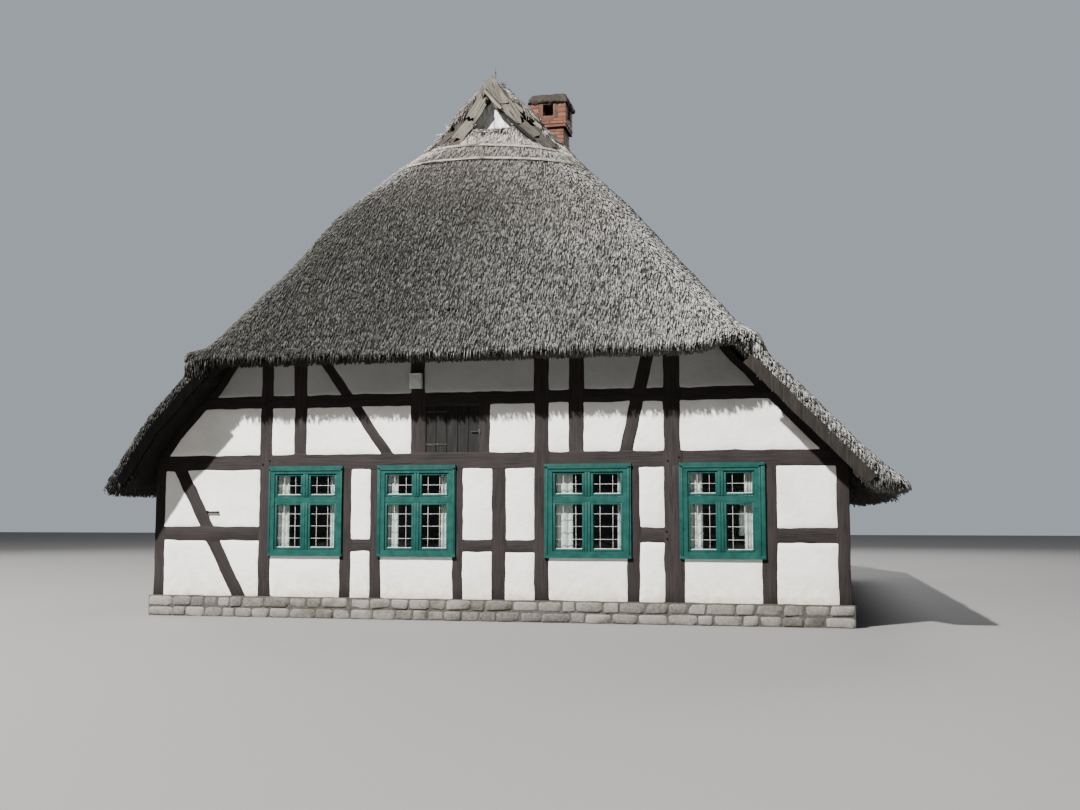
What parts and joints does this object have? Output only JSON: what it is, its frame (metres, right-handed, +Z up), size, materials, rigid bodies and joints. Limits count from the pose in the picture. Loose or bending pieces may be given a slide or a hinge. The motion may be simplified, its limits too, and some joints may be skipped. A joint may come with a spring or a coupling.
{
  "type": "thatched half-timbered cottage",
  "caption": "Hollow half-timbered cottage with white infill, green casement windows, a half-hipped thatched roof and a brick chimney.",
  "frame": {"origin": "on the ground, at the centre of the bounding box of the roof's outline", "axes": "+X to the right seen from the street gable, +Y from the street gable into the house, +Z up"},
  "size_m": [12.36, 15.8, 10.58],
  "materials": {
    "stone": "rough grey rendered stone",
    "old_board": "weathered grey-brown boards",
    "oak_timber": "dark brown stained oak, sawn",
    "plaster": "limewashed plaster over infill",
    "green_paint": "blue-green oil paint, worn",
    "window_glass": "clear, old and slightly wavy",
    "thatch": "weathered reed thatch",
    "brick": "red brick, sooty",
    "chimney_tile": "mossy mortar and tile"
  },
  "bodies": {
    "root": {"plinth": "stone", "ground_floor": "old_board", "loft_floor": "old_board", "front_frame": "oak_timber", "front_infill": "plaster", "back_frame": "oak_timber", "back_infill": "plaster", "left_frame": "oak_timber", "left_infill": "plaster", "right_frame": "oak_timber", "right_infill": "plaster", "loft_hatch": "old_board", "side_door": "old_board", "door_step": "stone", "front_window_1": "green_paint", "front_window_2": "green_paint", "front_window_3": "green_paint", "front_window_4": "green_paint", "back_window_1": "green_paint", "back_window_2": "green_paint", "left_window_1": "green_paint", "left_window_2": "green_paint", "right_window_1": "green_paint", "right_window_2": "green_paint", "front_pane_1": "window_glass", "front_pane_2": "window_glass", "front_pane_3": "window_glass", "front_pane_4": "window_glass", "back_pane_1": "window_glass", "back_pane_2": "window_glass", "left_pane_1": "window_glass", "left_pane_2": "window_glass", "right_pane_1": "window_glass", "right_pane_2": "window_glass", "roof_left": "thatch", "roof_right": "thatch", "front_hip": "thatch", "back_hip": "thatch", "ridge_cap": "thatch", "front_gablet": "old_board", "back_gablet": "old_board", "front_wind_boards": "old_board", "back_wind_boards": "old_board", "chimney_shaft": "brick", "chimney_cap": "chimney_tile"}
  },
  "joints": []
}
